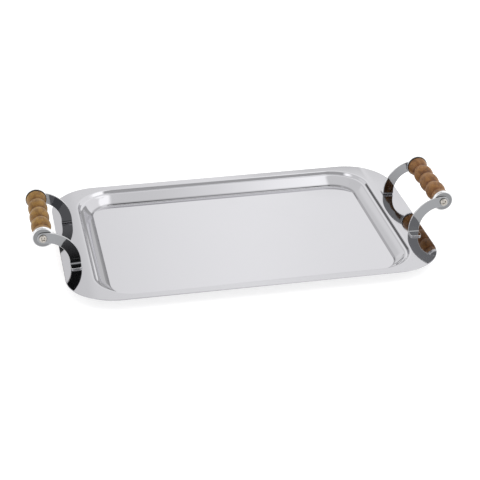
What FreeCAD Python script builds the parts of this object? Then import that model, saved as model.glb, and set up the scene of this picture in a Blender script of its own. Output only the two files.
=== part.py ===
"""Serving tray with two wooden-grip handles, as a parametric FreeCAD document.

+X runs along the tray from handle to handle, +Y across it, +Z up.  The origin
is the middle of the flat underside that the tray stands on.  Millimetres.

Each handle is built in a frame of its own that sits square on the sloping end
of the rim: local X points outwards down the slope, local Y is the tray's Y and
local Z stands up from the rim.  The left handle is the right one turned half
round, so both are made from the same five shapes.
"""
import FreeCAD, Part
import math
import os

import Sketcher
from FreeCAD import Placement, Rotation, Vector

SIZES = {
    # pressed steel pan
    "rim_length": 480.0,
    "rim_width": 320.0,
    "rim_corner": 64.0,
    "sheet": 1.2,
    "end_land": 35.0,
    "side_land": 12.0,
    "mouth_corner": 52.0,
    "well_depth": 14.5,
    "wall_run": 22.0,
    "end_slope": 2.6,
    "fold_radius": 200.0,
    # handle brackets
    "foot_inset": 17.0,
    "strip_width": 14.2,
    "strip_sheet": 2.0,
    "reach": 37.0,
    "leg": 6.1,
    "foot_length": 13.0,
    "foot_corner": 3.5,
    "bend_inside": 1.0,
    # stack between the two brackets of a handle
    "tube_length": 108.8,
    "tube_diameter": 9.0,
    "thread_play": 0.05,
    "disc_diameter": 28.5,
    "disc_sheet": 3.0,
    "disc_dome": 2.2,
    "disc_edge": 0.4,
    "washer_inset": 0.55,
    "washer_sheet": 0.8,
    # turned grip
    "grip_inset": 0.6,
    "grip_bulge_diameter": 25.8,
    "grip_groove_diameter": 18.6,
    "grip_end_gap": 0.3,
    "groove_round": 1.5,
    "running_play": 0.08,
    # fixing screws
    "screw_diameter": 5.0,
    "hole_play": 0.2,
    "head_diameter": 10.0,
    "head_height": 3.0,
    "head_round": 1.8,
    "screw_grip": 14.0,
    "recess_span": 5.4,
    "recess_slot": 1.5,
    "recess_depth": 1.8,
}

document = FreeCAD.newDocument("serving_tray")
sheet = document.addObject("Spreadsheet::Sheet", "sizes")
for row, (alias, value) in enumerate(SIZES.items(), start=1):
    sheet.set("A%d" % row, alias)
    sheet.set("B%d" % row, repr(value))
    sheet.setAlias("B%d" % row, alias)
document.recompute()


def size(alias):
    """The value of one named cell of the sheet."""
    return float(sheet.get(alias))


# What fits to another piece takes its size from that piece and a named clearance.
MOUTH_LENGTH = "rim_length - 2 * end_land"
MOUTH_WIDTH = "rim_width - 2 * side_land"
SCREW_HOLE = "screw_diameter + 2 * hole_play"
TUBE_BORE = "screw_diameter + 2 * thread_play"
GRIP_BORE = "tube_diameter + 2 * running_play"
WASHER_DIAMETER = "disc_diameter - 2 * washer_inset"

half_mouth = size("rim_length") / 2 - size("end_land")
foot_centre = size("rim_length") / 2 - size("foot_inset")
rise = size("leg") + size("reach")


def plane(body, role):
    """One of the body's own origin planes or axes, by its role."""
    return next(item for item in body.Origin.OriginFeatures if item.Role == role)


def new_body(label):
    body = document.addObject("PartDesign::Body", label)
    body.Label = label
    return body


def new_sketch(body, name, role="XY_Plane", lift=0.0):
    sketch = body.newObject("Sketcher::SketchObject", body.Label + "_" + name)
    sketch.AttachmentSupport = [(plane(body, role), "")]
    sketch.MapMode = "FlatFace"
    sketch.AttachmentOffset = Placement(Vector(0, 0, lift), Rotation())
    return sketch


def bind(thing, prop, formula):
    """Bind a property to a formula in which sheet aliases stand alone."""
    words = formula.replace("(", "( ").replace(")", " )").split()
    thing.setExpression(prop, " ".join("sizes." + w if w in SIZES else w for w in words))


def rounded_rectangle(sketch, length, width, corner):
    """A centred rounded rectangle whose three sizes follow formulas."""
    x, y, r = 50.0, 30.0, 10.0
    corners = [(x - r, y - r, 0), (r - x, y - r, 90), (r - x, r - y, 180), (x - r, r - y, 270)]
    arcs = []
    for cx, cy, start in corners:
        circle = Part.Circle(Vector(cx, cy, 0), Vector(0, 0, 1), r)
        span = (math.radians(start), math.radians(start + 90))
        arcs.append(sketch.addGeometry(Part.ArcOfCircle(circle, *span), False))
    lines = []
    for i in range(4):
        a = sketch.getPoint(arcs[i], 2)
        b = sketch.getPoint(arcs[(i + 1) % 4], 1)
        lines.append(sketch.addGeometry(Part.LineSegment(a, b), False))
    rule = Sketcher.Constraint
    for i in range(4):
        sketch.addConstraint(rule("Tangent", arcs[i], 2, lines[i], 1))
        sketch.addConstraint(rule("Tangent", lines[i], 2, arcs[(i + 1) % 4], 1))
        sketch.addConstraint(rule("Vertical" if i % 2 else "Horizontal", lines[i]))
    for i in (1, 2, 3):
        sketch.addConstraint(rule("Equal", arcs[0], arcs[i]))
    sketch.addConstraint(rule("Symmetric", arcs[0], 3, arcs[2], 3, -1, 1))
    for name, constraint, formula in (
        ("corner", rule("Radius", arcs[0], r), corner),
        ("length", rule("DistanceX", lines[1], 1, lines[3], 1, 2 * x), length),
        ("width", rule("DistanceY", lines[2], 1, lines[0], 1, 2 * y), width),
    ):
        index = sketch.addConstraint(constraint)
        sketch.renameConstraint(index, name)
        bind(sketch, "Constraints." + name, formula)


def circles(sketch, *diameters):
    """Concentric circles at the sketch's origin, each bound to its formula."""
    for i, formula in enumerate(diameters):
        edge = sketch.addGeometry(Part.Circle(Vector(0, 0, 0), Vector(0, 0, 1), 5.0 + i), False)
        sketch.addConstraint(Sketcher.Constraint("Coincident", edge, 3, -1, 1))
        index = sketch.addConstraint(Sketcher.Constraint("Diameter", edge, 10.0 + 2 * i))
        sketch.renameConstraint(index, "ring%d" % i)
        bind(sketch, "Constraints.ring%d" % i, formula)


def outline(sketch, edges):
    """Draw a closed outline and join each edge's end to the next one's start."""
    drawn = [sketch.addGeometry(edge, False) for edge in edges]
    for here, after in zip(drawn, drawn[1:] + drawn[:1]):
        a, b = min(
            ((i, j) for i in (1, 2) for j in (1, 2)),
            key=lambda ends: (sketch.getPoint(here, ends[0]) - sketch.getPoint(after, ends[1])).Length,
        )
        sketch.addConstraint(Sketcher.Constraint("Coincident", here, a, after, b))


def line(a, b):
    return Part.LineSegment(Vector(a[0], a[1], 0), Vector(b[0], b[1], 0))


def arc(a, middle, b):
    return Part.Arc(*(Vector(p[0], p[1], 0) for p in (a, middle, b)))


def polygon(points):
    return [line(a, b) for a, b in zip(points, points[1:] + points[:1])]


def feature(body, kind, name, profile, **settings):
    made = body.newObject("PartDesign::" + kind, body.Label + "_" + name)
    if kind in ("Fillet", "Chamfer"):
        made.Base = profile
    else:
        made.Profile = profile
    for key, value in settings.items():
        setattr(made, key, value)
    return made


def pad(body, name, profile, length, **settings):
    made = feature(body, "Pad", name, profile, **settings)
    bind(made, "Length", length)
    return made


def revolve(body, name, profile):
    return feature(body, "Revolution", name, profile, ReferenceAxis=(profile, ["V_Axis"]), Angle=360.0)


def through(body, name, profile):
    return feature(body, "Pocket", name, profile, Type="ThroughAll", Midplane=True)


def soften(body, name, base, keep, radius):
    """Round the edges of base for which keep(edge) is true."""
    document.recompute()
    chosen = ["Edge%d" % (i + 1) for i, edge in enumerate(base.Shape.Edges) if keep(edge)]
    made = feature(body, "Fillet", name, (base, chosen))
    bind(made, "Radius", radius)
    return made


# --------------------------------------------------------------------------- pan
# The rim is a flat sheet whose two ends fall away gently.  The well hangs in it
# from the mouth: one pressed section swept round a rounded rectangle, and a floor.

def land_drop(x):
    """How far the rim's top has fallen, and at what slope, at distance x."""
    slope = math.radians(size("end_slope"))
    bend = size("fold_radius")
    past = x - half_mouth - bend * math.sin(slope)
    return bend * (1 - math.cos(slope)) + past * math.tan(slope)


def wall_section(thickness):
    """Edges of the pressed wall's section, closed, in (outward, up) of the mouth.

    The middle of the wall is one hollow arc.  Its mean slope m makes the small
    bends at its two ends add up with it to the given run and depth.
    """
    hollow = math.radians(8.0)
    floor_lip = 0.8

    def bends(m):
        """(angle before, angle after, top radius) of each bend; a straight keeps its angle."""
        step, ledge, foot = math.radians(56), math.radians(9), m + 2 * hollow
        upper = [
            (0.0, step, 1.7), (step, step, 3.2), (step, ledge, 1.1),
            (ledge, ledge, 1.7), (ledge, m + hollow, 4.5),
        ]
        lower = [(m - hollow, foot, 1.8), (foot, foot, 0.8), (foot, 0.0, 1.6), (0.0, 0.0, floor_lip)]
        return upper, lower

    def travel(before, after, radius):
        """Run and drop of one bend, or of a straight of that length."""
        if before == after:
            return radius * math.cos(before), radius * math.sin(before)
        run = radius * abs(math.sin(after) - math.sin(before))
        return run, radius * abs(math.cos(after) - math.cos(before))

    slope = math.radians(35)
    for _ in range(60):
        upper, lower = bends(slope)
        spent = [travel(*bend) for bend in upper + lower]
        run = size("wall_run") - sum(s[0] for s in spent)
        drop = size("well_depth") - sum(s[1] for s in spent)
        slope = math.atan2(drop, run)
    upper, lower = bends(slope)
    wall = (slope + hollow, slope - hollow, math.hypot(run, drop) / (2 * math.sin(hollow)))

    top, under = [], []
    u, z = 0.0, 0.0
    for before, after, radius in upper + [wall] + lower:
        if before == after:
            ends = [(u, z), (u + radius * math.cos(before), z - radius * math.sin(before))]
            down = (math.sin(before) * thickness, math.cos(before) * thickness)
            top.append(line(*((-p[0], p[1]) for p in ends)))
            under.append(line(*((-(p[0] - down[0]), p[1] - down[1]) for p in ends)))
            u, z = ends[1]
            continue
        side = -1 if after > before else 1
        centre = (u + side * radius * math.sin(before), z + side * radius * math.cos(before))
        for edges, reach in ((top, radius), (under, radius + side * thickness)):
            points = [
                (-(centre[0] - side * reach * math.sin(angle)), centre[1] - side * reach * math.cos(angle))
                for angle in (before, (before + after) / 2, after)
            ]
            edges.append(arc(*points))
        u = centre[0] - side * radius * math.sin(after)
        z = centre[1] - side * radius * math.cos(after)
    first = line((0.0, 0.0), (0.0, -thickness))
    last = line((-u, z), (-u, z - thickness))
    return top + [last] + under[::-1] + [first]


rim_top = size("sheet") + size("well_depth")

pan = new_body("tray_pan")
land = new_sketch(pan, "land_section", "XZ_Plane")
slope = math.radians(size("end_slope"))
bend = size("fold_radius")
fold = half_mouth
over = size("rim_length") / 2 + 4.0


def land_edge(sign, depth):
    """Middle, fold and sloping end of the rim's top or under face, one side."""
    reach = bend - depth
    knee = [
        (sign * (fold + reach * math.sin(a)), rim_top - bend + reach * math.cos(a))
        for a in (0.0, slope / 2, slope)
    ]
    tip_drop = (over - abs(knee[2][0])) * math.tan(slope)
    return knee, (sign * over, knee[2][1] - tip_drop)


upper_right, upper_right_tip = land_edge(1, 0.0)
under_right, under_right_tip = land_edge(1, size("sheet"))
upper_left, upper_left_tip = land_edge(-1, 0.0)
under_left, under_left_tip = land_edge(-1, size("sheet"))
outline(land, [
    line(upper_left[0], upper_right[0]),
    arc(*upper_right),
    line(upper_right[2], upper_right_tip),
    line(upper_right_tip, under_right_tip),
    line(under_right_tip, under_right[2]),
    arc(*under_right[::-1]),
    line(under_right[0], under_left[0]),
    arc(*under_left),
    line(under_left[2], under_left_tip),
    line(under_left_tip, upper_left_tip),
    line(upper_left_tip, upper_left[2]),
    arc(*upper_left[::-1]),
])
pad(pan, "land", land, "rim_width + 8", Midplane=True)

trim = new_sketch(pan, "rim_outline")
frame_points = [(sx * (over + 20), sy * (size("rim_width") / 2 + 20))
                for sx, sy in ((-1, -1), (1, -1), (1, 1), (-1, 1))]
rounded_rectangle(trim, "rim_length", "rim_width", "rim_corner")
outline(trim, polygon(frame_points))
through(pan, "rim_trim", trim)

mouth = new_sketch(pan, "mouth_outline")
rounded_rectangle(mouth, MOUTH_LENGTH, MOUTH_WIDTH, "mouth_corner")
through(pan, "mouth_cut", mouth)

path = new_sketch(pan, "wall_path", lift=rim_top)
rounded_rectangle(path, MOUTH_LENGTH, MOUTH_WIDTH, "mouth_corner")
section = new_sketch(pan, "wall_section", "XZ_Plane")
moved = []
for edge in wall_section(size("sheet")):
    edge.translate(Vector(half_mouth, rim_top, 0))
    moved.append(edge)
outline(section, moved)
feature(pan, "AdditivePipe", "wall", section, Spine=(path, []), Transition="Transformed")

floor = new_sketch(pan, "floor_outline")
rounded_rectangle(
    floor,
    MOUTH_LENGTH + " - 2 * wall_run",
    MOUTH_WIDTH + " - 2 * wall_run",
    "mouth_corner - wall_run",
)
pan_floor = pad(pan, "floor", floor, "sheet")


# ----------------------------------------------------------------------- handles

def make_bracket(label, side):
    """A flat strip bent into a foot; side is the way the foot points in Y."""
    body = new_body(label)
    half = size("strip_width") / 2
    reach, thick = size("reach"), size("strip_sheet")
    hub = (reach, rise - reach)
    diagonal = math.sqrt(0.5)
    outer, inner = reach + half, reach - half
    face = new_sketch(body, "face", "XZ_Plane")
    outline(face, [
        line((-half, 0), (-half, hub[1])),
        arc((-half, hub[1]), (hub[0] - outer * diagonal, hub[1] + outer * diagonal), (hub[0], rise + half)),
        arc((reach, rise + half), (reach + half, rise), (reach, rise - half)),
        arc((reach, rise - half), (hub[0] - inner * diagonal, hub[1] + inner * diagonal), (half, hub[1])),
        line((half, hub[1]), (half, 0)),
        line((half, 0), (-half, 0)),
    ])
    pad(body, "strip", face, "strip_sheet", Reversed=side > 0)
    hole = new_sketch(body, "hole", "XZ_Plane")
    centre = hole.addGeometry(Part.Circle(Vector(reach, rise, 0), Vector(0, 0, 1), 2.0), False)
    for kind, formula, value in (("DistanceX", "reach", reach), ("DistanceY", "leg + reach", rise)):
        index = hole.addConstraint(Sketcher.Constraint(kind, -1, 1, centre, 3, value))
        hole.renameConstraint(index, kind.lower())
        bind(hole, "Constraints." + kind.lower(), formula)
    index = hole.addConstraint(Sketcher.Constraint("Diameter", centre, 4.0))
    hole.renameConstraint(index, "bore")
    bind(hole, "Constraints.bore", SCREW_HOLE)
    through(body, "screw_hole", hole)
    tip = side * (thick + size("foot_length"))
    corner = size("foot_corner")
    chip = corner * (1 - diagonal)
    foot = new_sketch(body, "foot")
    outline(foot, [
        line((-half, 0), (-half, tip - side * corner)),
        arc((-half, tip - side * corner), (chip - half, tip - side * chip), (corner - half, tip)),
        line((corner - half, tip), (half - corner, tip)),
        arc((half - corner, tip), (half - chip, tip - side * chip), (half, tip - side * corner)),
        line((half, tip - side * corner), (half, 0)),
        line((half, 0), (-half, 0)),
    ])
    blank = pad(body, "foot_tab", foot, "strip_sheet")

    def along_bend(edge, y, z):
        ends = [vertex.Point for vertex in edge.Vertexes]
        return len(ends) == 2 and all(abs(p.y - y) < 1e-4 and abs(p.z - z) < 1e-4 for p in ends)

    outside = soften(body, "outside_bend", blank, lambda e: along_bend(e, 0, 0), "bend_inside + strip_sheet")
    soften(body, "inside_bend", outside, lambda e: along_bend(e, side * thick, thick), "bend_inside")
    return body


def make_disc(label):
    """Round cap plate behind the bracket's end, its outer rim well rounded."""
    body = new_body(label)
    rings = new_sketch(body, "rings")
    circles(rings, "disc_diameter", SCREW_HOLE)
    plate = pad(body, "plate", rings, "disc_sheet")

    def rim(edge, height):
        wide = abs(edge.BoundBox.XLength - size("disc_diameter")) < 0.01
        return wide and len(edge.Vertexes) == 1 and abs(edge.BoundBox.ZMax - height) < 0.01

    dome = soften(body, "dome", plate, lambda e: rim(e, size("disc_sheet")), "disc_dome")
    soften(body, "inner_rim", dome, lambda e: rim(e, 0), "disc_edge")
    return body


def make_ring(label, outside, inside, length):
    body = new_body(label)
    rings = new_sketch(body, "rings")
    circles(rings, outside, inside)
    pad(body, "wall", rings, length)
    return body


def make_grip(label):
    """Turned grip: half a bulge at each end and three bulges between."""
    body = new_body(label)
    half = size("tube_length") / 2 - size("washer_sheet") - size("grip_end_gap")
    bore = size("tube_diameter") / 2 + size("running_play")
    end = size("disc_diameter") / 2 - size("washer_inset") - size("grip_inset")
    bulge = size("grip_bulge_diameter") / 2
    groove = size("grip_groove_diameter") / 2
    edge = 0.8
    outer_groove, inner_groove = 0.715 * half, 0.255 * half
    bell = half - edge
    bell_radius = ((bell - outer_groove) ** 2 + (end - groove) ** 2) / (2 * (end - groove))
    turn = math.asin((bell - outer_groove) / bell_radius) / 2

    def bell_point(sign, angle):
        """On the end's arc, angle back from the widest circle."""
        return (end - bell_radius * (1 - math.cos(angle)), sign * (bell - bell_radius * math.sin(angle)))

    profile = new_sketch(body, "profile", "XZ_Plane")
    outline(profile, [
        line((bore, -half), (end - edge, -half)),
        line((end - edge, -half), (end, -bell)),
        arc((end, -bell), bell_point(-1, turn), (groove, -outer_groove)),
        arc((groove, -outer_groove), (bulge, -(outer_groove + inner_groove) / 2), (groove, -inner_groove)),
        arc((groove, -inner_groove), (bulge, 0), (groove, inner_groove)),
        arc((groove, inner_groove), (bulge, (outer_groove + inner_groove) / 2), (groove, outer_groove)),
        arc((groove, outer_groove), bell_point(1, turn), (end, bell)),
        line((end, bell), (end - edge, half)),
        line((end - edge, half), (bore, half)),
        line((bore, half), (bore, -half)),
    ])
    turned = revolve(body, "turned", profile)
    soften(
        body, "grooves", turned,
        lambda e: abs(e.BoundBox.XLength - size("grip_groove_diameter")) < 0.01 and len(e.Vertexes) == 1,
        "groove_round",
    )
    return body


def make_screw(label):
    """Pan-head screw, its head's seat at z = 0 and its shank along -Z."""
    body = new_body(label)
    head = size("head_diameter") / 2
    height = size("head_height")
    shank = size("screw_diameter") / 2
    length = size("strip_sheet") + size("disc_sheet") + size("screw_grip")
    profile = new_sketch(body, "profile", "XZ_Plane")
    outline(profile, polygon([
        (0, height), (head, height), (head, 0), (shank, 0),
        (shank, 0.8 - length), (shank - 0.8, -length), (0, -length),
    ]))
    turned = revolve(body, "turned", profile)
    soften(body, "crown", turned, lambda e: e.BoundBox.ZMin > height - 0.01 and len(e.Vertexes) == 1, "head_round")
    span, slot = size("recess_span") / 2, size("recess_slot") / 2
    arm = [(slot, slot), (slot, span), (-slot, span)]
    corners = []
    for eighth in (1, 3, 5, 7):
        angle = math.radians(45 * eighth)
        c, s = math.cos(angle), math.sin(angle)
        corners += [(c * u - s * v, s * u + c * v) for u, v in arm]
    cross = new_sketch(body, "cross", lift=height)
    outline(cross, polygon(corners))
    recess = feature(body, "Pocket", "recess", cross)
    bind(recess, "Length", "recess_depth")
    return body


seat = Placement(
    Vector(foot_centre, 0, rim_top - land_drop(foot_centre)),
    Rotation(Vector(0, 1, 0), size("end_slope")),
)
half_round = Placement(Vector(), Rotation(Vector(0, 0, 1), 180))
axis_point = Vector(size("reach"), 0, rise)
half_tube = size("tube_length") / 2
bracket_face = half_tube + size("disc_sheet")


def along_y(side, distance):
    """A place on the grip's axis, with local Z pointing the way of side."""
    return Placement(axis_point + Vector(0, side * distance, 0), Rotation(Vector(1, 0, 0), -90 * side))


for hand, turn in (("right", Placement()), ("left", half_round)):
    place = turn.multiply(seat)
    for side in (-1, 1):
        end_name = "front" if side * (1 if hand == "right" else -1) < 0 else "rear"
        label = hand + "_" + end_name + "_"
        bracket = make_bracket(label + "bracket", side)
        bracket.Placement = place.multiply(Placement(Vector(0, side * bracket_face, 0), Rotation()))
        disc = make_disc(label + "disc")
        disc.Placement = place.multiply(along_y(side, half_tube))
        washer = make_ring(label + "washer", WASHER_DIAMETER, GRIP_BORE, "washer_sheet")
        washer.Placement = place.multiply(along_y(side, half_tube - size("washer_sheet")))
        screw = make_screw(label + "screw")
        screw.Placement = place.multiply(along_y(side, bracket_face + size("strip_sheet")))
    tube = make_ring(hand + "_tie_tube", "tube_diameter", TUBE_BORE, "tube_length")
    tube.Placement = place.multiply(along_y(1, -half_tube))
    grip = make_grip(hand + "_grip")
    grip.Placement = place.multiply(along_y(1, 0))

# -------------------------------------------------------------- check and write

document.recompute()
for item in document.Objects:
    if "Invalid" in item.State or "Error" in item.State:
        raise RuntimeError("%s failed to rebuild: %s" % (item.Label, item.State))

os.makedirs("parts", exist_ok=True)
for body in document.findObjects("PartDesign::Body"):
    shape = body.Shape
    if shape.isNull() or not shape.isValid() or len(shape.Solids) != 1:
        raise RuntimeError("%s is not one valid solid" % body.Label)
    if len(body.Tip.Shape.Solids) != 1:
        raise RuntimeError("%s came apart" % body.Label)
    shape.exportStep(os.path.join("parts", body.Label + ".step"))
    box = shape.BoundBox
    print("%-22s %9.1f mm3   x %.1f..%.1f  y %.1f..%.1f  z %.2f..%.2f" % (
        body.Label, shape.Volume, box.XMin, box.XMax, box.YMin, box.YMax, box.ZMin, box.ZMax))
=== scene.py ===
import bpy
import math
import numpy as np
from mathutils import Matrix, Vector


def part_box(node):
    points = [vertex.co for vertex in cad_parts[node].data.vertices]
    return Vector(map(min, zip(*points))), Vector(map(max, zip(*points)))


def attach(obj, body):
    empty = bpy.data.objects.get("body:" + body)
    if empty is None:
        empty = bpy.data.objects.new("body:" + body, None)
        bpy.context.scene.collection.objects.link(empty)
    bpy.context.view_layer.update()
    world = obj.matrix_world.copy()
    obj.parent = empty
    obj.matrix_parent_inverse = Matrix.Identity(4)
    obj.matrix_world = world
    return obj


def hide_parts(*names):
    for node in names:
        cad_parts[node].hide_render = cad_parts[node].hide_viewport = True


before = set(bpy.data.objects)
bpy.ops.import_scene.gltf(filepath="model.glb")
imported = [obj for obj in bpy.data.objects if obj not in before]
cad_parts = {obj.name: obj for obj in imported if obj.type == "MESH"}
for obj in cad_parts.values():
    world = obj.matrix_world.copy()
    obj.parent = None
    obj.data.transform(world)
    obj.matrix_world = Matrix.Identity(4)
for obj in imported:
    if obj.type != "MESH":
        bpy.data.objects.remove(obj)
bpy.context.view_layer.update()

# %% [markdown]
# # A serving tray, from its frame to its polish
# The frame above holds the tray as an engineer drew it: every piece is a solid,
# in metres, with its joints.  This lesson dresses that frame.  A mirror shows
# every facet of a coarse mesh, so the polished pieces are worked out again here
# as fine smooth surfaces that stand exactly where the drawn ones do.

MM = 0.001
scene = bpy.context.scene
print("nodes in the frame:", len(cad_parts))

# %% [markdown]
# ## The camera
# The camera comes first, because a polished tray looks like whatever it
# mirrors, and what it mirrors depends on where the eye is.  A long lens, nearly
# two metres away, keeps the long sides of the tray almost parallel.

# %% Set up the camera
TURN, TILT = math.radians(11.438), math.radians(27.787)
EYE = (-0.3398, -1.6856, 0.9026)
LENS, SENSOR = 109.08, 36.0
looking = Vector((math.sin(TURN) * math.cos(TILT),
                  math.cos(TURN) * math.cos(TILT),
                  -math.sin(TILT)))
camera = bpy.data.objects.new("camera", bpy.data.cameras.new("camera"))
camera.data.sensor_width = SENSOR
camera.data.lens = LENS
camera.location = EYE
camera.rotation_euler = looking.to_track_quat("-Z", "Y").to_euler()
scene.collection.objects.link(camera)
scene.camera = camera
print("camera looks along", [round(v, 3) for v in looking])

# %% [markdown]
# ## One way to make a mesh
# Each new piece is a sheet of points in rows and columns.  The columns always
# close into a ring.  The rows either close as well, as on a ring with a hole,
# or end in two caps.  Working out whole arrays at once keeps the shapes exact
# and the code short, where placing vertices by hand would do neither.

# %% Join the points of a sheet into faces
def join_rows(here, above):
    """Quads from each row of numbers to the one above, closed round the ring."""
    corners = [here, np.roll(here, -1, 1), np.roll(above, -1, 1), above]
    return np.stack(corners, -1).reshape(-1, 4)


def six_volumes(points, quads):
    """Six times the enclosed volume: the sum of corner-triple products.

    It comes out negative where the faces point inwards.
    """
    a, b, c, d = (points[quads[:, k]] for k in range(4))
    return (np.cross(a, b) * c).sum() + (np.cross(a, c) * d).sum()


def new_piece(name, points, faces):
    """Put points and faces into a smooth-shaded object at the origin."""
    mesh = bpy.data.meshes.new(name)
    mesh.from_pydata(points.tolist(), [], faces)
    mesh.shade_smooth()
    piece = bpy.data.objects.new(name, mesh)
    scene.collection.objects.link(piece)
    return piece


# %% Turn a sheet of points into a closed piece
def skin(name, sheet, rows_close=False):
    """Quads join row i to row i + 1 and column j to column j + 1, round the ring.

    Where the rows don't close, the first and the last row each become one flat
    cap.  Where the enclosed volume is negative, all the faces are reversed.
    """
    rows, columns = sheet.shape[:2]
    here = np.arange(rows * columns).reshape(rows, columns)
    points = sheet.reshape(-1, 3)
    if rows_close:
        quads = join_rows(here, np.roll(here, -1, 0))
    else:
        quads = join_rows(here[:-1], here[1:])
    volume = six_volumes(points, quads)
    faces = quads.tolist()
    if not rows_close:
        for ring in (here[0][::-1], here[-1]):
            p = points[ring]
            volume += (np.cross(p[0], p[1:-1]) * p[2:]).sum()
            faces.append(ring.tolist())
    if volume < 0:
        faces = [face[::-1] for face in faces]
    print("%-26s %6d faces, %8.1f mm3" % (name, len(faces), abs(volume) / 6 * 1e9))
    return new_piece(name, points, faces)


def mark(piece, name, values):
    """Store one number for each point, in the order of the points."""
    piece.data.attributes.new(name, "FLOAT", "POINT").data.foreach_set("value", values)


def dress(piece, material):
    """Give every slot of the piece one material."""
    if piece.data.materials:
        for slot in piece.material_slots:
            slot.material = material
    else:
        piece.data.materials.append(material)


# %% [markdown]
# ## Polished steel
# The pan is bright sheet steel.  It is nearly a perfect mirror, but a perfect
# one looks like a computer's.  Three things tell the eye that it is metal:
# faint straight polishing lines that soften the reflection a little, broad
# smears left by a cloth that change the roughness, and a sheet that isn't quite
# flat, so reflected edges wander by a hair.  All three come from noise on the
# object's own coordinates, so they stay put when a piece turns.

# %% A node chain in a few words
def noise(tree, stretch, scale, detail=2.0):
    """Noise on object coordinates, squeezed by the three numbers of stretch."""
    place = tree.nodes.new("ShaderNodeTexCoord")
    mapping = tree.nodes.new("ShaderNodeMapping")
    mapping.inputs["Scale"].default_value = stretch
    pattern = tree.nodes.new("ShaderNodeTexNoise")
    pattern.inputs["Scale"].default_value = scale
    pattern.inputs["Detail"].default_value = detail
    tree.links.new(place.outputs["Object"], mapping.inputs["Vector"])
    tree.links.new(mapping.outputs["Vector"], pattern.inputs["Vector"])
    return pattern.outputs["Fac"]


def spread(tree, source, low, high, start=0.3, stop=0.7):
    """Go smoothly from low to high while the pattern goes from start to stop."""
    node = tree.nodes.new("ShaderNodeMapRange")
    node.interpolation_type = "SMOOTHSTEP"
    limits = {"From Min": start, "From Max": stop, "To Min": low, "To Max": high}
    for name, value in limits.items():
        node.inputs[name].default_value = value
    tree.links.new(source, node.inputs["Value"])
    return node.outputs["Result"]


def relief(tree, height, distance, after=None):
    """A bump of the given distance in metres, laid over another where one is given."""
    bump = tree.nodes.new("ShaderNodeBump")
    bump.inputs["Distance"].default_value = distance
    tree.links.new(height, bump.inputs["Height"])
    if after is not None:
        tree.links.new(after, bump.inputs["Normal"])
    return bump.outputs["Normal"]


# %% Polished metal
EVEN = (1.0, 1.0, 1.0)
SMEAR_SCALE, LINE_SCALE, WAVE_SCALE = 14.0, 900.0, 9.0
LINE_WEIGHT, LINE_DEPTH = 0.35, 0.0012 * MM


def polished(name, colour, sharp, dull, waviness, stroke, painted_light_colour=None):
    """Metal whose roughness wanders from sharp to dull; stroke is the lines' squeeze.

    Where a painted light colour is given, the piece's own "edge" attribute leads
    to it: painted shade on the sheet, painted highlight on the strip and discs.
    """
    material = bpy.data.materials.new(name)
    material.use_nodes = True
    tree = material.node_tree
    shader = tree.nodes["Principled BSDF"]
    shader.inputs["Base Color"].default_value = (*colour, 1.0)
    shader.inputs["Metallic"].default_value = 1.0
    # Painted light: a second base colour, led in by the "edge" attribute, paints shade on
    # the sheet and highlights on the strip and the discs.
    if painted_light_colour:
        edge = tree.nodes.new("ShaderNodeAttribute")
        edge.attribute_name = "edge"
        mix = tree.nodes.new("ShaderNodeMix")
        mix.data_type = "RGBA"
        tree.links.new(edge.outputs["Fac"], mix.inputs["Factor"])
        mix.inputs["A"].default_value = (*colour, 1.0)
        mix.inputs["B"].default_value = (*painted_light_colour, 1.0)
        tree.links.new(mix.outputs["Result"], shader.inputs["Base Color"])
    smears = noise(tree, EVEN, SMEAR_SCALE, 3.0)
    lines = noise(tree, stroke, LINE_SCALE)
    both = tree.nodes.new("ShaderNodeMath")
    both.operation = "MULTIPLY_ADD"
    both.inputs[1].default_value = LINE_WEIGHT
    tree.links.new(lines, both.inputs[0])
    tree.links.new(spread(tree, smears, 0.1, 0.6), both.inputs[2])
    wander = spread(tree, both.outputs[0], sharp, dull, 0.1, 1.0)
    tree.links.new(wander, shader.inputs["Roughness"])
    waves = relief(tree, noise(tree, EVEN, WAVE_SCALE, 1.0), waviness)
    tree.links.new(relief(tree, lines, LINE_DEPTH, waves), shader.inputs["Normal"])
    return material


# %% [markdown]
# The strip and the discs are a darker steel than the sheet, with a painted
# highlight: a lighter base colour on the strip's edges and foot and on the
# discs' rounded rims.  The sheet is the other way about: its painted shade is a
# darker base colour in the tight bend at the wall's foot, and a little of it on
# the rim, than on the floor.

# %% Steel for the sheet, the strip, the discs and the screws
# Each second colour is painted light: painted shade on the sheet, painted highlight on
# the strip and the discs.
sheet_steel = polished("polished sheet steel", (0.495, 0.492, 0.512), 0.02, 0.07,
                       waviness=0.2 * MM, stroke=(0.04, 1.0, 1.0),
                       painted_light_colour=(0.320, 0.318, 0.332))
strip_steel = polished("polished strip steel", (0.27, 0.275, 0.285), 0.02, 0.06,
                       waviness=0.04 * MM, stroke=(1.0, 1.0, 0.05),
                       painted_light_colour=(0.56, 0.56, 0.57))
disc_steel = polished("polished disc steel", (0.215, 0.219, 0.225), 0.03, 0.09,
                      waviness=0.03 * MM, stroke=(1.0, 0.1, 0.05),
                      painted_light_colour=(0.74, 0.74, 0.75))
screw_steel = polished("bright screw steel", (0.46, 0.435, 0.40), 0.08, 0.20,
                       waviness=0.02 * MM, stroke=(1.0, 0.3, 1.0))

# %% [markdown]
# ## The pan
# On the real tray one sheet is pressed between two dies: first the flat rim,
# then a small step, a hollow wall and a last small step down to the floor.
# It could be modelled by bevelling a box, but then every corner would need its
# own repair.  Instead one cut through the wall is worked out as a chain of
# bends, and that cut is carried round the well's rounded rectangle.

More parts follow.
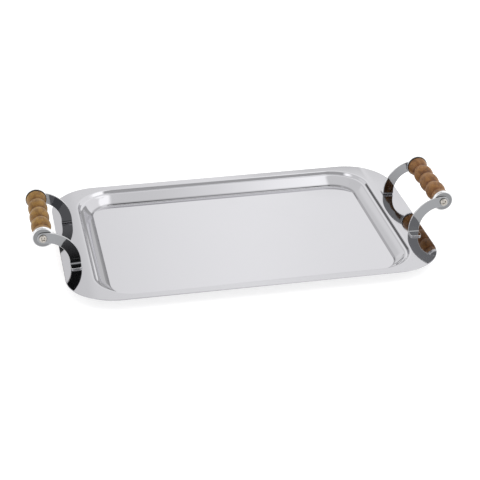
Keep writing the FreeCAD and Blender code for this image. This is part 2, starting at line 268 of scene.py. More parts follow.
# %% Sizes of the pan
HALF_LENGTH, HALF_WIDTH, RIM_TOP = np.array(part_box("tray_pan")[1])
RIM_CORNER = 64.0 * MM
SHEET = 1.2 * MM
HALF_MOUTH = HALF_LENGTH - 35.0 * MM
HALF_MOUTH_WIDTH = HALF_WIDTH - 12.0 * MM
MOUTH_CORNER = 52.0 * MM
WALL_RUN = 22.0 * MM
WELL_DEPTH = 14.5 * MM
END_SLOPE = math.radians(2.6)
FOLD_RADIUS = 200.0 * MM
print("rim %.0f by %.0f mm, its top at %.1f mm" % (
    2 * HALF_LENGTH / MM, 2 * HALF_WIDTH / MM, RIM_TOP / MM))


# %% The cut through the wall
def travel(before, after, radius):
    """Run and drop of one bend between two slopes, or of a straight."""
    if before == after:
        return radius * math.cos(before), radius * math.sin(before)
    return (radius * abs(math.sin(after) - math.sin(before)),
            radius * abs(math.cos(after) - math.cos(before)))


def wall_bends(run_total, drop_total):
    """Bends as (slope before, slope after, radius in mm), from the mouth inwards.

    A straight has the same slope twice, and its length in place of a radius.
    The long middle bend is hollow; its mean slope is found by repetition, so
    that the small bends at its ends add up with it to the given run and drop.
    """
    step, ledge, hollow = math.radians(56), math.radians(9), math.radians(8)
    slope = math.radians(35)
    for _ in range(60):
        foot = slope + 2 * hollow
        upper = [(0, step, 1.7), (step, step, 3.2), (step, ledge, 1.1),
                 (ledge, ledge, 1.7), (ledge, slope + hollow, 4.5)]
        lower = [(slope - hollow, foot, 1.8), (foot, foot, 0.8),
                 (foot, 0, 1.6), (0, 0, 0.8)]
        small = np.array([travel(*bend) for bend in upper + lower]).sum(0) * MM
        slope = math.atan2(drop_total - small[1], run_total - small[0])
    chord = math.hypot(run_total - small[0], drop_total - small[1]) / MM
    long_radius = chord / (2 * math.sin(hollow))
    print("mean slope of the wall: %.1f degrees" % math.degrees(slope))
    return upper + [(slope + hollow, slope - hollow, long_radius)] + lower


# %% Follow the bends down the wall
def wall_cut():
    """Inward run, height and slope at close stations down the wall, as arrays.

    Along a bend the slope turns evenly, and the point moves by the radius
    times the change of (sine, cosine) of the slope.
    """
    run, height, slopes = [0.0], [0.0], [0.0]
    for before, after, radius in wall_bends(WALL_RUN, WELL_DEPTH):
        if before == after:
            share = np.array([0.1, 0.5, 0.9, 1.0]) * radius * MM
            run += (run[-1] + share * math.cos(before)).tolist()
            height += (height[-1] - share * math.sin(before)).tolist()
            slopes += [before] * len(share)
            continue
        turned = abs(after - before)
        steps = max(8, int(turned * radius * 4), int(turned * 14))
        way = np.linspace(before, after, steps + 1)[1:]
        arm = radius * MM if after > before else -radius * MM
        run += (run[-1] + arm * (np.sin(way) - math.sin(before))).tolist()
        height += (height[-1] - arm * (math.cos(before) - np.cos(way))).tolist()
        slopes += way.tolist()
    return np.array(run), np.array(height), np.array(slopes)


wall_run, wall_height, wall_slope = wall_cut()
print("wall: %.2f mm in, %.2f mm down, %d stations" % (
    wall_run[-1] / MM, -wall_height[-1] / MM, len(wall_run)))


# %% Rounded rectangles that match, point for point
def rounded_ring(half_x, half_y, corner, turns=28, sides=24):
    """A ring of points and outward directions round a rounded rectangle.

    Each corner is the corner centre plus the radius times (cosine, sine);
    each side is a straight share between the ends of its two corners.
    """
    spots, outward = [], []
    for quarter, signs in enumerate(((1, 1), (-1, 1), (-1, -1), (1, -1))):
        angle = np.radians(90 * quarter + np.linspace(0, 90, turns + 1))
        ray = np.stack([np.cos(angle), np.sin(angle)], 1)
        centre = np.array([half_x - corner, half_y - corner]) * signs
        spots.append(centre + corner * ray)
        outward.append(ray)
    ring, rays = [], []
    share = np.linspace(0, 1, sides + 1)[1:-1, None]
    for quarter in range(4):
        leaving, arriving = spots[quarter][-1], spots[(quarter + 1) % 4][0]
        ring += [spots[quarter], leaving * (1 - share) + arriving * share]
        rays += [outward[quarter], np.repeat(outward[quarter][-1:], sides - 1, 0)]
    return np.concatenate(ring), np.concatenate(rays)


def land_fall(x):
    """How far the rim has fallen at x: nothing, then an arc, then a slope."""
    past = np.abs(x) - HALF_MOUTH
    bend_run = FOLD_RADIUS * math.sin(END_SLOPE)
    on_arc = FOLD_RADIUS - np.sqrt(FOLD_RADIUS ** 2 - np.clip(past, 0, bend_run) ** 2)
    return on_arc + np.clip(past - bend_run, 0, None) * math.tan(END_SLOPE)


# %% Lay out the pan's rows
EDGE_ROUND = 0.42 * SHEET
# Painted shade on the sheet: a fixed share on the rim, and at the wall's foot a share
# that grows with the sheet's slope.
RIM_PAINTED_SHADE = 0.23
FOOT_SHADE_FROM, FOOT_SHADE_FADE = 4.6 * MM, 1.6 * MM
GENTLE, STEEP = math.radians(12), math.radians(26)


def pan_sheet():
    """Rows from the floor's edge up the wall, over the rim, round and back below.

    Down the wall a point is the mouth's ring less the run along its outward
    ray; over the rim it is a share between the mouth and the rim's own ring.
    Beside the rows comes a number for each point, how much painted shade it
    gets: one value on the rim, and at the wall's foot more where the sheet is
    steeper.
    """
    mouth, ray = rounded_ring(HALF_MOUTH, HALF_MOUTH_WIDTH, MOUTH_CORNER)
    rim, rim_ray = rounded_ring(HALF_LENGTH, HALF_WIDTH, RIM_CORNER)

    def wall(run, height):
        return np.column_stack([mouth - run * ray, np.full(len(mouth), RIM_TOP + height)])

    def land(share, inset, depth):
        flat = mouth * (1 - share) + (rim - inset * rim_ray) * share
        return np.column_stack([flat, RIM_TOP - depth - land_fall(flat[:, 0])])

    top = [wall(r, h) for r, h in zip(wall_run[::-1], wall_height[::-1])]
    shares = np.concatenate([np.linspace(0, 1, 15)[1:-1], [0.99]])
    over = [land(s, EDGE_ROUND, 0.0) for s in shares]
    quarter = np.linspace(0, math.pi / 2, 6)
    away = EDGE_ROUND * (1 - np.sin(quarter))
    towards = EDGE_ROUND * (1 - np.cos(quarter))
    nose = [land(1.0, inset, depth) for inset, depth in zip(away, towards)]
    nose += [land(1.0, inset, SHEET - depth) for inset, depth in zip(towards, away)]
    below = [land(s, EDGE_ROUND, SHEET) for s in shares[::-1]]
    beneath_run = wall_run - SHEET * np.sin(wall_slope)
    beneath_height = wall_height - SHEET * np.cos(wall_slope)
    under = [wall(r, h) for r, h in zip(beneath_run, beneath_height)]
    # Painted shade at the wall's foot, more where the sheet is steeper.
    near_foot = np.clip((wall_run - (WALL_RUN - FOOT_SHADE_FROM)) / FOOT_SHADE_FADE, 0, 1)
    foot_shade = near_foot * np.clip((wall_slope - GENTLE) / (STEEP - GENTLE), 0, 1)
    rim_rows = over + nose + below
    painted_shade = np.concatenate([
        foot_shade[::-1], np.full(len(rim_rows), RIM_PAINTED_SHADE), np.zeros(len(under))])
    return np.stack(top + rim_rows + under), np.repeat(painted_shade, len(mouth))


# %% Press the pan
pan_points, painted_shade = pan_sheet()
pan = skin("pressed_pan", pan_points)
# The "edge" attribute carries this painted shade into the sheet's colour.
mark(pan, "edge", painted_shade)
dress(pan, sheet_steel)
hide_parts("tray_pan")
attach(pan, "tray")

# %% [markdown]
# ## Where a handle stands
# Both handles are the same, so each is worked out once, in a small frame of its
# own: x outwards along the sloping rim, y across the tray, z straight up from
# the rim.  A turn by the rim's slope and a step to the feet carries it to the
# right end; half a turn about the tray's middle carries it to the left.

# %% Carry a handle's points to its end of the tray
FOOT = HALF_LENGTH - 17.0 * MM
REACH, LEG = 37.0 * MM, 6.1 * MM
RISE = REACH + LEG
HALF_TUBE = 54.4 * MM
DISC = 3.0 * MM
STRIP = 2.0 * MM
HALF_STRIP = 7.1 * MM


def to_tray(points, hand):
    """x' = foot + x cos + z sin and z' = rim - x sin + z cos, then half a turn."""
    c, s = math.cos(END_SLOPE), math.sin(END_SLOPE)
    foot_height = RIM_TOP - float(land_fall(np.array(FOOT)))
    x = FOOT + points[..., 0] * c + points[..., 2] * s
    z = foot_height - points[..., 0] * s + points[..., 2] * c
    side = 1 if hand == "right" else -1
    return np.stack([side * x, side * points[..., 1], z], -1)


def ends(hand):
    """The name of the end of a handle that lies on each side of local y."""
    return {-1: "front", 1: "rear"} if hand == "right" else {-1: "rear", 1: "front"}


# %% [markdown]
# ## The brackets
# Each bracket is cut from flat strip, with a round eye at the top, and its
# lower end is bent outwards into a foot.  So it is drawn here as the flat blank
# that the metalworker cuts, and then bent: the part of the blank below the bend
# line is wound round a small circle.  A box with a bevel would have a foot too,
# but its edges would not run on round the bend as a real strip's do.

# %% Cut the blank
BEND_INSIDE = 1.0 * MM
BEND_OUTSIDE = BEND_INSIDE + STRIP
BEND_LENGTH = BEND_OUTSIDE * math.pi / 2
FOOT_FLAT = 12.0 * MM
FOOT_CORNER = 3.5 * MM


def blank_edges():
    """Left and right edge of the flat blank, from the foot's tip to the eye.

    Up the leg both edges are straight; round the sweep they are the two radii
    about its hub; past the eye's centre the half width falls as a half circle,
    and at the foot's tip as a quarter circle at each corner.
    """
    tip = -(BEND_LENGTH + FOOT_FLAT)
    turn = np.linspace(0, math.pi / 2, 9)
    corner_z = tip + FOOT_CORNER * (1 - np.cos(turn))
    corner_half = HALF_STRIP - FOOT_CORNER * (1 - np.sin(turn))
    flat = np.linspace(corner_z[-1], -BEND_LENGTH, 5)[1:]
    bend = np.linspace(-BEND_LENGTH, 0, 13)[1:]
    leg_z = np.concatenate([flat, bend, np.linspace(0, LEG - BEND_OUTSIDE, 4)[1:]])
    low_z = np.concatenate([corner_z, leg_z])
    low_half = np.concatenate([corner_half, np.full(len(leg_z), HALF_STRIP)])
    left_low = np.stack([-low_half, low_z], 1)
    right_low = np.stack([low_half, low_z], 1)
    sweep = np.linspace(0, math.pi / 2, 40)[1:, None]
    hub = np.array([[REACH, LEG - BEND_OUTSIDE]])
    aim = np.concatenate([-np.cos(sweep), np.sin(sweep)], 1)
    left_sweep = hub + (REACH + HALF_STRIP) * aim
    right_sweep = hub + (REACH - HALF_STRIP) * aim
    around = np.linspace(0, math.pi / 2, 13)[1:-1]
    eye_x = REACH + HALF_STRIP * np.sin(around)
    eye_z = LEG - BEND_OUTSIDE + REACH
    left_eye = np.stack([eye_x, eye_z + HALF_STRIP * np.cos(around)], 1)
    right_eye = np.stack([eye_x, eye_z - HALF_STRIP * np.cos(around)], 1)
    return (np.concatenate([left_low, left_sweep, left_eye]),
            np.concatenate([right_low, right_sweep, right_eye]))


# %% Bend the blank into a foot
def bend_blank(x, z, depth, side):
    """Wind what lies below z = 0 round the bend, and lay what is left flat.

    With q the depth from the strip's inner face, the bend's radius is the
    outer radius less q; a point at angle t stands at (radius times cosine,
    radius times sine) from the bend's centre.
    """
    angle = np.clip(-z / BEND_OUTSIDE, 0, math.pi / 2)
    radius = BEND_OUTSIDE - depth
    along = np.clip(-z - BEND_LENGTH, 0, None)
    y = BEND_OUTSIDE - radius * np.cos(angle) + along
    height = BEND_OUTSIDE - radius * np.sin(angle) + np.clip(z, 0, None)
    return np.stack([x, side * (HALF_TUBE + DISC + y), height], -1)


# %% Soften the blank's edges
EDGE_SOFT = 0.4 * MM
# Painted highlight: the bend and the foot take up to this share of the lighter edge
# colour.
FOOT_HIGHLIGHT = 0.75


def soft_steps():
    """Pairs of (inset, depth) that go round both edges of the strip's thickness.

    At each face the edge is a quarter circle, so the inset is the radius less
    the radius times the sine, and the depth the radius less its cosine.
    """
    angle = np.linspace(0, math.pi / 2, 5)
    steps = [(1.5 * EDGE_SOFT, 0.0)]
    steps += [(EDGE_SOFT * (1 - math.sin(a)), EDGE_SOFT * (1 - math.cos(a)))
              for a in angle]
    return steps + [(inset, STRIP - depth) for inset, depth in steps[::-1]]


def inward_rays(left, right, outline):
    """The outline's unit normals, each turned towards the strip's middle line."""
    along = np.roll(outline, -1, 0) - np.roll(outline, 1, 0)
    length = np.linalg.norm(along, axis=1)[:, None]
    inward = np.stack([along[:, 1], -along[:, 0]], 1) / length
    middle = (left + right) / 2
    to_middle = np.concatenate([middle, middle[::-1]]) - outline
    return inward * np.sign((to_middle * inward).sum(1))[:, None]


# %% Give the blank its thickness
def bracket_piece(name, side, hand):
    """The blank's outline, stepped inwards towards both faces to round the edge.

    Each row is the outline moved in along its own normals; the two faces are
    filled by rungs from the left edge to the right, so that they can bend.
    """
    left, right = blank_edges()
    outline = np.concatenate([left, right[::-1]])
    inward = inward_rays(left, right, outline)
    # Painted highlight, kept in the "edge" attribute: lighter along the bend into the
    # foot, and full on the rows round the strip's edges.
    foot = np.clip(-outline[:, 1] / BEND_OUTSIDE, 0, FOOT_HIGHLIGHT)
    rows, bright = [], []
    for inset, depth in soft_steps():
        ring = outline + inset * inward
        rows.append(bend_blank(ring[:, 0], ring[:, 1], depth, side))
        bright.append(np.maximum(foot, 1.0 if inset < 0.7 * EDGE_SOFT else 0.0))
    strip_points = to_tray(np.stack(rows), hand)
    levels, around = strip_points.shape[:2]
    here = np.arange(levels * around).reshape(levels, around)
    lower, upper = here[0], here[-1]
    k = np.arange(len(left) - 1)
    mirror = around - 1 - k
    first = np.stack([lower[k], lower[mirror], lower[mirror - 1], lower[k + 1]], 1)
    last = np.stack([upper[k], upper[k + 1], upper[mirror - 1], upper[mirror]], 1)
    faces = np.concatenate([join_rows(here[:-1], here[1:]), first, last])
    points = strip_points.reshape(-1, 3)
    if six_volumes(points, faces) < 0:
        faces = faces[:, ::-1]
    piece = new_piece(name, points, faces.tolist())
    mark(piece, "edge", np.concatenate(bright))
    return piece


# %% Bend four brackets
for hand in ("left", "right"):
    for side, end in ends(hand).items():
        strip = bracket_piece(hand + "_" + end + "_strip", side, hand)
        dress(strip, strip_steel)
        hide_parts(hand + "_" + end + "_bracket")
        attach(strip, "tray")
    print("bent the brackets of the", hand, "handle")

# %% [markdown]
# ## Discs and screws
# These are turned pieces: a disc's rim is well rounded, and a screw's pan head
# carries a pressed cross.  A turned shape is a profile spun about its axis; the
# cross is then sunk into the head by lowering each point by a smooth amount
# that depends on how near it is to one of two crossing slots.

# %% Spin a profile about the grip's axis
def spun(profile, start, side, hand, around, sink=None):
    """Ring by ring, (radius cosine, distance, radius sine) about the axis.

    The profile holds (radius, distance outwards from start) pairs; sink, where
    given, lowers a point by a function of its place on the head.
    """
    turn = np.linspace(0, 2 * math.pi, around, endpoint=False)
    radius, distance = profile[:, 0][:, None], profile[:, 1][:, None]
    u, v = radius * np.cos(turn), radius * np.sin(turn)
    out = np.broadcast_to(distance, u.shape)
    if sink is not None:
        out = out - sink(u, v, out)
    local = np.stack([REACH + u, side * (start + out), RISE + v], -1)
    return to_tray(local, hand)


# %% The disc's profile
DISC_RADIUS, DOME, DISC_EDGE = 14.25 * MM, 2.2 * MM, 0.4 * MM
turn = np.linspace(0, math.pi / 2, 10)
dome = np.stack([DISC_RADIUS - DOME * (1 - np.sin(turn)),
                 DISC - DOME * (1 - np.cos(turn))], 1)
small = np.stack([DISC_RADIUS - DISC_EDGE * (1 - np.cos(turn)),
                  DISC_EDGE * (1 - np.sin(turn))], 1)
disc_profile = np.concatenate([
    [[1.0 * MM, DISC], [DISC_RADIUS - DOME - 0.2 * MM, DISC]], dome, small,
    [[DISC_RADIUS - DISC_EDGE - 0.1 * MM, 0.0], [1.0 * MM, 0.0]],
])

# %% The screw's profile and its cross
HEAD_RADIUS, HEAD_HEIGHT, HEAD_ROUND = 5.0 * MM, 3.0 * MM, 1.8 * MM
SHANK_RADIUS, SHANK_LENGTH = 2.4 * MM, 18.0 * MM
HALF_SLOT, HALF_SPAN, RECESS_DEPTH = 0.85 * MM, 2.6 * MM, 1.7 * MM
crown = np.stack([HEAD_RADIUS - HEAD_ROUND * (1 - np.sin(turn)),
                  HEAD_HEIGHT - HEAD_ROUND * (1 - np.cos(turn))], 1)
flat_top = np.stack([np.linspace(0.05, 3.15, 26) * MM, np.full(26, HEAD_HEIGHT)], 1)
head_profile = np.concatenate([flat_top, crown, [
    [HEAD_RADIUS, 0.15 * MM], [HEAD_RADIUS - 0.1 * MM, 0.0], [SHANK_RADIUS, 0.0],
    [SHANK_RADIUS, -SHANK_LENGTH], [1.0 * MM, -SHANK_LENGTH - 1.0 * MM]]])


def cross_recess(u, v, out):
    """Depth of the cross: full within half a slot's width, fading over its flank.

    A point's nearness to a slot is the larger of its shares of the slot's half
    width and half length; the depth falls with it along a smooth step.
    """
    u, v = (u + v) * math.sqrt(0.5), (u - v) * math.sqrt(0.5)
    near = np.minimum(np.maximum(np.abs(u) / HALF_SLOT, np.abs(v) / HALF_SPAN),
                      np.maximum(np.abs(v) / HALF_SLOT, np.abs(u) / HALF_SPAN))
    fade = np.clip((1.25 - near) / 0.6, 0, 1)
    dish = RECESS_DEPTH * fade * fade * (3 - 2 * fade)
    return np.where(out > HEAD_HEIGHT - HEAD_ROUND, dish, 0.0)


# %% Make four discs and four screws
DISC_POINTS, HEAD_POINTS = 72, 96
# Painted highlight: the disc's rounded rim takes the lighter edge colour.
painted_rim_highlight = (disc_profile[:, 0] > DISC_RADIUS - 0.9 * DOME).astype(float)
seat = HALF_TUBE + DISC + STRIP
for hand in ("left", "right"):
    for side, end in ends(hand).items():
        disc_points = spun(disc_profile, HALF_TUBE, side, hand, DISC_POINTS)
        disc = skin(hand + "_" + end + "_cap", disc_points)
        mark(disc, "edge", np.repeat(painted_rim_highlight, DISC_POINTS))
        dress(disc, disc_steel)
        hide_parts(hand + "_" + end + "_disc")
        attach(disc, "tray")
        head_points = spun(head_profile, seat, side, hand, HEAD_POINTS, cross_recess)
        head = skin(hand + "_" + end + "_cross_screw", head_points)
        dress(head, screw_steel)
        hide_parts(hand + "_" + end + "_screw")
        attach(head, "tray")

# %% [markdown]
# ## The grips
# The grips are turned from a warm brown wood, and the right one took the stain
# a little redder.  A lathe leaves round bulges with narrow grooves between, and
# a hand-held tool leaves them a little uneven: no two bulges are quite alike.
# The colour has four layers: broad patches, a finer mottle and thin fibres
# along the grip choose a brown from dark to light, then small pores darken it,
# and painted shade darkens it in the grooves.  One flat brown with a few
# painted lines would be quicker, but it would look like a toy's.

# %% Stain and fibres
PATCH_SCALE, MOTTLE_SCALE, FIBRE_SCALE, PORE_SCALE = 150.0, 600.0, 1700.0, 1000.0
PATCH_DEPTH, MOTTLE_DEPTH, FIBRE_DEPTH = 0.30 * MM, 0.35 * MM, 0.06 * MM
MOTTLE_WEIGHT, FIBRE_WEIGHT = 0.24, 0.30
DARK_AT, MIDDLE_AT, LIGHT_AT = 0.27, 0.46, 0.66
GROOVE_SHADE_TINT, PORE_TINT = (0.55, 0.42, 0.34), (0.40, 0.28, 0.20)


def weighted(tree, pattern, weight, base):
    """The pattern times its weight, added to the base."""
    node = tree.nodes.new("ShaderNodeMath")
    node.operation = "MULTIPLY_ADD"
    node.inputs[1].default_value = weight
    tree.links.new(pattern, node.inputs[0])
    tree.links.new(base, node.inputs[2])
    return node.outputs[0]


def multiply(tree, share, colour, tint):
    """Darken a colour towards its product with a tint, by a share from 0 to 1."""
    mix = tree.nodes.new("ShaderNodeMix")
    mix.data_type = "RGBA"
    mix.blend_type = "MULTIPLY"
    tree.links.new(share, mix.inputs["Factor"])
    tree.links.new(colour, mix.inputs["A"])
    mix.inputs["B"].default_value = (*tint, 1.0)
    return mix.outputs["Result"]


# %% Turned wood
def turned_wood(name, dark, middle, light):
    """Patches, mottle and fibres choose the brown; pores darken it, and painted shade
    darkens the grooves.
    """
    material = bpy.data.materials.new(name)
    material.use_nodes = True
    tree = material.node_tree
    shader = tree.nodes["Principled BSDF"]
    patches = noise(tree, (1.0, 0.6, 1.0), PATCH_SCALE, 3.0)
    mottle = noise(tree, (1.0, 0.45, 1.0), MOTTLE_SCALE, 2.0)
    fibres = noise(tree, (1.0, 0.07, 1.0), FIBRE_SCALE, 3.0)
    pores = noise(tree, (1.0, 0.35, 1.0), PORE_SCALE, 1.0)
    blotch = weighted(tree, mottle, MOTTLE_WEIGHT, spread(tree, patches, 0.12, 0.34))
    ramp = tree.nodes.new("ShaderNodeValToRGB")
    stops = ramp.color_ramp.elements
    stops[0].position, stops[0].color = DARK_AT, (*dark, 1.0)
    stops[1].position, stops[1].color = LIGHT_AT, (*light, 1.0)
    stops.new(MIDDLE_AT).color = (*middle, 1.0)
    tree.links.new(weighted(tree, fibres, FIBRE_WEIGHT, blotch), ramp.inputs["Fac"])
    # Painted shade in the grooves: the "groove" attribute darkens the colour towards the
    # groove tint.
    groove = tree.nodes.new("ShaderNodeAttribute")
    groove.attribute_name = "groove"
    colour = multiply(tree, groove.outputs["Fac"], ramp.outputs["Color"], GROOVE_SHADE_TINT)
    open_pores = spread(tree, pores, 0.7, 0.0, 0.24, 0.40)
    colour = multiply(tree, open_pores, colour, PORE_TINT)
    tree.links.new(colour, shader.inputs["Base Color"])
    tree.links.new(spread(tree, mottle, 0.38, 0.56), shader.inputs["Roughness"])
    shader.inputs["Specular IOR Level"].default_value = 0.28
    shader.inputs["Coat Weight"].default_value = 0.06
    shader.inputs["Coat Roughness"].default_value = 0.25
    bumps = relief(tree, mottle, MOTTLE_DEPTH, relief(tree, patches, PATCH_DEPTH))
    tree.links.new(relief(tree, fibres, FIBRE_DEPTH, bumps), shader.inputs["Normal"])
    return material


# %% The grip's outline
WASHER, END_PLAY = 0.8 * MM, 0.3 * MM
HALF_GRIP = HALF_TUBE - (WASHER + END_PLAY)
END_RADIUS, BULGE_RADIUS, GROOVE_RADIUS = 13.1 * MM, 12.9 * MM, 9.3 * MM
OUTER_GROOVE, INNER_GROOVE = 0.715 * HALF_GRIP, 0.255 * HALF_GRIP
GROOVE_SOFT = 0.55 * MM


def grip_radius(y):
    """Half a bulge at each end and three between, softened where they meet.

    A bulge is an arc through the groove radius at both ends and the bulge
    radius in its middle.  Of the two highest arcs a and b, the outline is half
    of a + b + the root of (a - b) squared plus soft squared, which rounds the
    groove as a round-nosed tool does, less a little so that it stays as deep.
    """
    def bulge(a, b, top):
        mid, half = (a + b) / 2, (b - a) / 2
        drop = top - GROOVE_RADIUS
        big = (half ** 2 + drop ** 2) / (2 * drop)
        return top - big + np.sqrt(np.clip(big ** 2 - (y - mid) ** 2, 0, None))

    arcs = np.stack([
        bulge(-2 * HALF_GRIP + OUTER_GROOVE, -OUTER_GROOVE, END_RADIUS),
        bulge(-OUTER_GROOVE, -INNER_GROOVE, BULGE_RADIUS),
        bulge(-INNER_GROOVE, INNER_GROOVE, BULGE_RADIUS),
        bulge(INNER_GROOVE, OUTER_GROOVE, BULGE_RADIUS),
        bulge(OUTER_GROOVE, 2 * HALF_GRIP - OUTER_GROOVE, END_RADIUS),
    ])
    arcs.sort(0)
    first, second = arcs[-1], arcs[-2]
    rounded = np.sqrt((first - second) ** 2 + GROOVE_SOFT ** 2)
    return (first + second + rounded) / 2 - GROOVE_SOFT * 0.15


# %% Turn a grip
GRIP_ROWS, GRIP_POINTS = 260, 96
BORE_RADIUS, CHAMFER = 4.58 * MM, 0.8 * MM
END_FADE, ROOM_FOR_WOBBLE = 4.0 * MM, 0.12 * MM


def grip_sheet(hand, seed):
    """Rows along the grip and back through its bore, and how deep each point lies.

    The unevenness is a sum of four waves, each a sine of n times the angle
    round the grip times a sine along it; it fades out towards both ends, where
    a chamfer takes over.  Depth is the square of the share from bulge to groove.
    """
    y = np.linspace(-HALF_GRIP, HALF_GRIP, GRIP_ROWS)[:, None]
    around = np.linspace(0, 2 * math.pi, GRIP_POINTS, endpoint=False)[None, :]
    radius = grip_radius(y)
    chance = np.random.default_rng(seed)
    wobble = np.zeros((GRIP_ROWS, GRIP_POINTS))
    for n in range(1, 5):
        shift, slide = chance.uniform(0, 2 * math.pi, 2)
        size = chance.uniform(0.04, 0.12) * MM / n ** 0.5
        along = np.sin(y / HALF_GRIP * (2.0 + n) + slide)
        wobble += size * np.sin(n * around + shift) * along
    from_end = HALF_GRIP - np.abs(y)
    fade = np.clip(from_end / END_FADE, 0, 1)
    chamfer = np.clip(CHAMFER - from_end, 0, None)
    uneven = radius + (wobble - ROOM_FOR_WOBBLE) * fade - chamfer
    u, v = uneven * np.cos(around), uneven * np.sin(around)
    outer = np.stack([REACH + u, np.broadcast_to(y, u.shape), RISE + v], -1)
    u, v = BORE_RADIUS * np.cos(around[0]), BORE_RADIUS * np.sin(around[0])
    ring = np.stack([REACH + u, np.zeros(GRIP_POINTS), RISE + v], -1)
    inner = np.stack([ring + [0, HALF_GRIP * s, 0] for s in (1, 0.5, 0, -0.5, -1)])
    # How deep a point lies sets the painted shade in the grooves.
    share = (BULGE_RADIUS - radius[:, 0]) / (BULGE_RADIUS - GROOVE_RADIUS)
    depth = np.concatenate([np.clip(share, 0, 1) ** 2, np.zeros(len(inner))])
    return to_tray(np.concatenate([outer, inner]), hand), np.repeat(depth, GRIP_POINTS)


# %% Stain both grips
STAINS = {
    "left": ((0.100, 0.042, 0.005), (0.205, 0.100, 0.013), (0.32, 0.178, 0.036)),
    "right": ((0.075, 0.027, 0.006), (0.20, 0.085, 0.020), (0.29, 0.138, 0.038)),
}
for seed, hand in ((5, "left"), (8, "right")):
    grip_points, groove = grip_sheet(hand, seed)
    grip = skin(hand + "_turned_grip", grip_points, rows_close=True)
    mark(grip, "groove", groove)
    dress(grip, turned_wood(hand + " grip wood", *STAINS[hand]))
    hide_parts(hand + "_grip")
    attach(grip, hand + "_grip")

# %% [markdown]
# ## Washers and tie tubes
# The drawn washers and tubes are right as they are: thin rings, nearly hidden.
# They only need a finish: a dull black fibre, and the steel of the screws.

# %% Finish the small drawn pieces
fibre = bpy.data.materials.new("black fibre")
fibre.use_nodes = True
fibre_tree = fibre.node_tree
fibre_shader = fibre_tree.nodes["Principled BSDF"]
fibre_shader.inputs["Base Color"].default_value = (0.012, 0.010, 0.009, 1.0)
FIBRE_GRAIN, GRAIN_DEPTH = 2500.0, 0.05 * MM
grain = noise(fibre_tree, EVEN, FIBRE_GRAIN, 3.0)
dullness = spread(fibre_tree, grain, 0.45, 0.75)
roughened = relief(fibre_tree, grain, GRAIN_DEPTH)
fibre_tree.links.new(dullness, fibre_shader.inputs["Roughness"])
fibre_tree.links.new(roughened, fibre_shader.inputs["Normal"])
for hand in ("left", "right"):
    for end in ("front", "rear"):
        dress(bpy.data.objects[hand + "_" + end + "_washer"], fibre)
    dress(bpy.data.objects[hand + "_tie_tube"], screw_steel)
    print("finished the washers and the tie tube of the", hand, "handle")

# %% [markdown]
# ## The studio
# A mirror needs something to mirror.  The room is pale and gets brighter to the
# right.  Behind the tray stands a backdrop with a dark foot on its left and a
# grey stand on its right; overhead hangs a light, brightest on the right; and
# on the camera's side a wide lamp shines above a dimmer wall, both broken by
# grey parts and three narrow dark gaps.  The grey and the dark give the
# mirrored brackets their black and the small steps of the pan their lines.
# It could be built from panels and lamps, but a sky that depends only on
# direction lights everything just as softly and has no edges of its own.

# %% Soft patches on a sky
def calc(tree, kind, first, second):
    """One step of arithmetic on two numbers or sockets."""
    node = tree.nodes.new("ShaderNodeMath")
    node.operation = kind
    for socket, value in zip(node.inputs, (first, second)):
        if isinstance(value, float):
            socket.default_value = value
        else:
            tree.links.new(value, socket)
    return node.outputs[0]


def between(tree, source, low, high, soft):
    """1 between low and high, fading to 0 over the width soft outside them."""
    rise = spread(tree, source, 0.0, 1.0, low - soft, low)
    fall = spread(tree, source, 1.0, 0.0, high, high + soft)
    return calc(tree, "MULTIPLY", rise, fall)


def lay(tree, room, grey, shares):
    """Room plus (grey less room) times the product of the shares."""
    strength = shares[0]
    for share in shares[1:]:
        strength = calc(tree, "MULTIPLY", strength, share)
    change = calc(tree, "MULTIPLY", calc(tree, "SUBTRACT", grey, room), strength)
    return calc(tree, "ADD", room, change)


# %% [markdown]
# The patches are kept in a table, in the order in which they are laid, because
# a later one covers the earlier ones.  Each has a grey, the side of the room,
# and how far it reaches in x (to the right) and z (up), as (from, to, fade).
# They are parts of a direction of length one, so z = 0.5 is 30 degrees up.

# %% The table of patches
SKY_STRENGTH = 1.14
PATCHES = {
    "bright right": (1.20, None, (0.27, 2.0, 0.10), None),
    "backdrop": (1.06, "rear", (-2.0, -0.25, 0.15), (-1.0, 0.36, 0.08)),
    "dark foot": (0.20, "rear", (-0.75, -0.3, 0.2), (-1.0, 0.11, 0.06)),
    "grey stand": (0.50, "rear", (0.22, 0.70, 0.08), (0.16, 0.36, 0.05)),
    "stand's corner": (0.50, "rear", (0.18, 0.25, 0.03), (0.30, 0.41, 0.02)),
    "stand's foot": (0.74, "rear", (0.22, 0.70, 0.08), (-1.0, 0.12, 0.05)),
    "front lamp": (1.75, "front", None, None),
    "front wall": (1.10, "front", None, (-1.0, 0.42, 0.10)),
    "ceiling": (0.95, None, None, (0.86, 2.0, 0.06)),
    "overhead light": (1.65, None, (0.27, 2.0, 0.17), (0.86, 2.0, 0.06)),
    "grey panel": (0.56, "front", (-0.58, 0.38, 0.15), (0.50, 0.84, 0.06)),
    "high gap": (0.10, "front", (0.02, 0.10, 0.05), (0.71, 0.86, 0.02)),
    "narrow gap": (0.10, "front", (0.228, 0.246, 0.008), (0.71, 0.86, 0.02)),
    "pale band": (0.80, "front", (-0.45, 0.45, 0.2), (0.15, 0.44, 0.08)),
    "grey band": (0.50, "front", (-0.10, 0.12, 0.12), (0.25, 0.46, 0.05)),
    "low gap": (0.02, "front", (0.0, 0.035, 0.02), (0.474, 0.506, 0.012)),
}


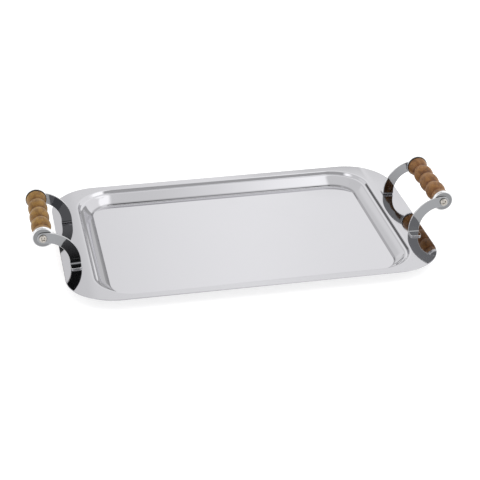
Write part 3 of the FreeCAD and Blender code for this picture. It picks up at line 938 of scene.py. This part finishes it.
# %% Light the room
def studio_sky():
    """A pale slope from left to right, and the table's patches laid over it."""
    world = bpy.data.worlds.new("soft studio")
    scene.world = world
    world.use_nodes = True
    tree = world.node_tree
    place = tree.nodes.new("ShaderNodeTexCoord")
    split = tree.nodes.new("ShaderNodeSeparateXYZ")
    tree.links.new(place.outputs["Generated"], split.inputs[0])
    x, y, z = split.outputs
    sides = {"rear": spread(tree, y, 0.0, 1.0, -0.1, 0.2),
             "front": spread(tree, y, 1.0, 0.0, -0.3, 0.0)}
    room = spread(tree, x, 0.92, 1.28, -0.05, 0.2)
    for grey, side, across, up in PATCHES.values():
        shares = [sides[side]] if side else []
        for way, reach in ((x, across), (z, up)):
            if reach:
                shares.append(between(tree, way, *reach))
        room = lay(tree, room, grey, shares)
    background = tree.nodes["Background"]
    tree.links.new(room, background.inputs["Color"])
    background.inputs["Strength"].default_value = SKY_STRENGTH


studio_sky()
print("laid on the sky:", ", ".join(PATCHES))

# %% [markdown]
# ## The floor
# The tray stands on pale paper that glows a little, as on a light table, so
# that its shadow stays faint.  A lamp under glass would do the same, but a
# plain sheet with some light of its own is one surface and makes no noise.

# %% Lay the floor
FLOOR_REACH, PAPER_GREY, PAPER_GLOW = 30.0, 0.60, 0.62
ground = bpy.data.meshes.new("floor")
signs = ((-1, -1), (1, -1), (1, 1), (-1, 1))
corners = [(FLOOR_REACH * i, FLOOR_REACH * j, 0) for i, j in signs]
ground.from_pydata(corners, [], [(0, 1, 2, 3)])
floor = bpy.data.objects.new("floor", ground)
scene.collection.objects.link(floor)
paper = bpy.data.materials.new("pale paper")
paper.use_nodes = True
paper_shader = paper.node_tree.nodes["Principled BSDF"]
paper_shader.inputs["Base Color"].default_value = (PAPER_GREY, PAPER_GREY, PAPER_GREY, 1)
paper_shader.inputs["Roughness"].default_value = 0.9
paper_shader.inputs["Specular IOR Level"].default_value = 0.1
paper_shader.inputs["Emission Color"].default_value = (1.0, 1.0, 1.0, 1)
paper_shader.inputs["Emission Strength"].default_value = PAPER_GLOW
dress(floor, paper)
scene.view_settings.view_transform = "Standard"
print("floor %d m each way" % FLOOR_REACH)
